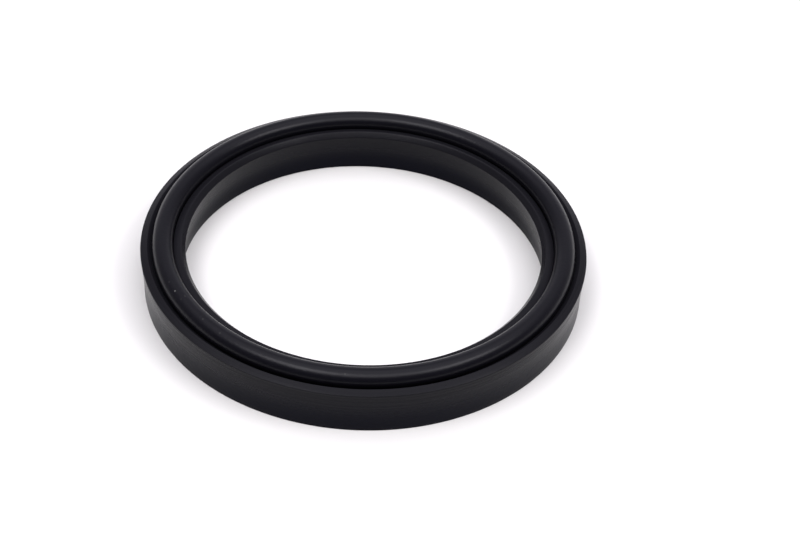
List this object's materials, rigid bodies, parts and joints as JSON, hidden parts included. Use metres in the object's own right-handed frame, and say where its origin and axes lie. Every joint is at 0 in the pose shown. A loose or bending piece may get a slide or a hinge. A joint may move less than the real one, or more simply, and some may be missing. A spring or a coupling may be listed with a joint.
{
  "type": "u_cup_seal",
  "caption": "Energised U-cup hydraulic seal: a black rubber U-section ring with a flared outer lip and an inner wiping lip, loaded by a round O-ring lying in its groove",
  "frame": {"origin": "Centre of the seal's axis at the plane of the flat heel it stands on; the groove and the lips open upward.", "axes": "+Z is the symmetry axis and points from the heel to the lips. The part is a ring, so X and Y may be any two right-angled radial directions. Metres."},
  "size_m": [0.091, 0.091, 0.0121],
  "materials": {
    "shell_rubber": "moulded black rubber, satin, faintly streaked round the ring",
    "cord_rubber": "black rubber cord, smooth satin with light scuffs"
  },
  "bodies": {
    "root": {"u_cup_shell": "shell_rubber", "energiser_o_ring": "cord_rubber"}
  },
  "joints": []
}
